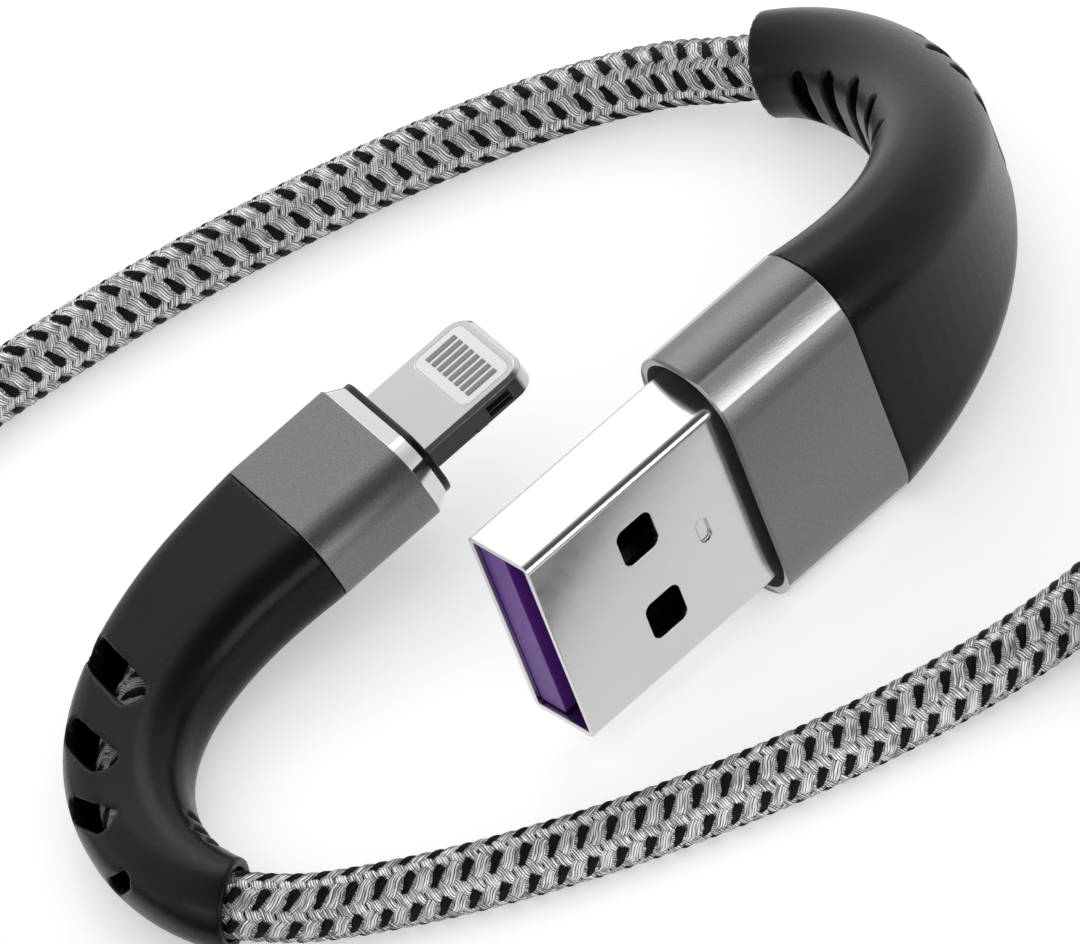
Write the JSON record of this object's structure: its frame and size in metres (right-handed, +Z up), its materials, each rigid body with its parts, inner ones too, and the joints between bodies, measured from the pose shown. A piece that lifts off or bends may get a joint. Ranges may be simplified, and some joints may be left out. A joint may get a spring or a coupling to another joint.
{
  "type": "charging cable",
  "caption": "Braided charging cable with a wide host plug, a slim reversible phone plug, metal sleeves, slotted bend-relief boots and a coiled cord.",
  "frame": {"origin": "on the surface the cable lies on, under the middle of the box round both plugs with their boots; the free cord and its coil don't count", "axes": "+Z up; the host plug lies along X with its mouth towards -X and stands on its narrow side; both boots bend in the XY plane"},
  "size_m": [0.0901, 0.1127, 0.0154],
  "materials": {
    "polished_steel": "polished",
    "purple_plastic": "satin",
    "contact_metal": "satin",
    "anodised_aluminium": "fine blasted, satin",
    "soft_boot": "satin",
    "inner_plastic": "matte",
    "white_plastic": "satin",
    "black_lip": "satin",
    "chrome_ring": "mirror polished",
    "wire_skin": "satin",
    "crimp_metal": "rolled",
    "board": "lacquered",
    "chip": "matte",
    "braid": "woven silver grey with black ticks"
  },
  "bodies": {
    "cord": {"cord_host_run": "braid", "cord_phone_run": "braid", "cord_coil": "braid"},
    "host_plug": {"host_shell": "polished_steel", "host_tongue": "purple_plastic", "host_contact_power": "contact_metal", "host_contact_data_minus": "contact_metal", "host_contact_data_plus": "contact_metal", "host_contact_ground": "contact_metal", "host_inner_mould": "inner_plastic", "host_wires": "wire_skin", "host_crimp": "crimp_metal", "host_sleeve": "anodised_aluminium", "host_boot": "soft_boot", "host_cord_end": "braid"},
    "phone_plug": {"phone_tab": "polished_steel", "phone_insert": "white_plastic", "phone_pads_upper": "contact_metal", "phone_pads_lower": "contact_metal", "phone_lip": "black_lip", "phone_bezel": "chrome_ring", "phone_board": "board", "phone_chip": "chip", "phone_wires": "wire_skin", "phone_inner_mould": "inner_plastic", "phone_sleeve": "anodised_aluminium", "phone_boot": "soft_boot", "phone_cord_end": "braid"}
  },
  "joints": [
    {"name": "host_flex", "type": "hinge", "parent": "cord", "child": "host_plug", "pos_m": [0.02857, 0.00678, 0.00386], "axis": [0, 0, 1], "range_deg": [-8, 8], "stiffness_Nm_per_rad": 0.05, "deforming": ["host_boot", "host_cord_end"]},
    {"name": "phone_flex", "type": "hinge", "parent": "cord", "child": "phone_plug", "pos_m": [-0.02885, -0.00171, 0.00264], "axis": [0, 0, 1], "range_deg": [-8, 8], "stiffness_Nm_per_rad": 0.05, "deforming": ["phone_boot", "phone_cord_end"]}
  ]
}
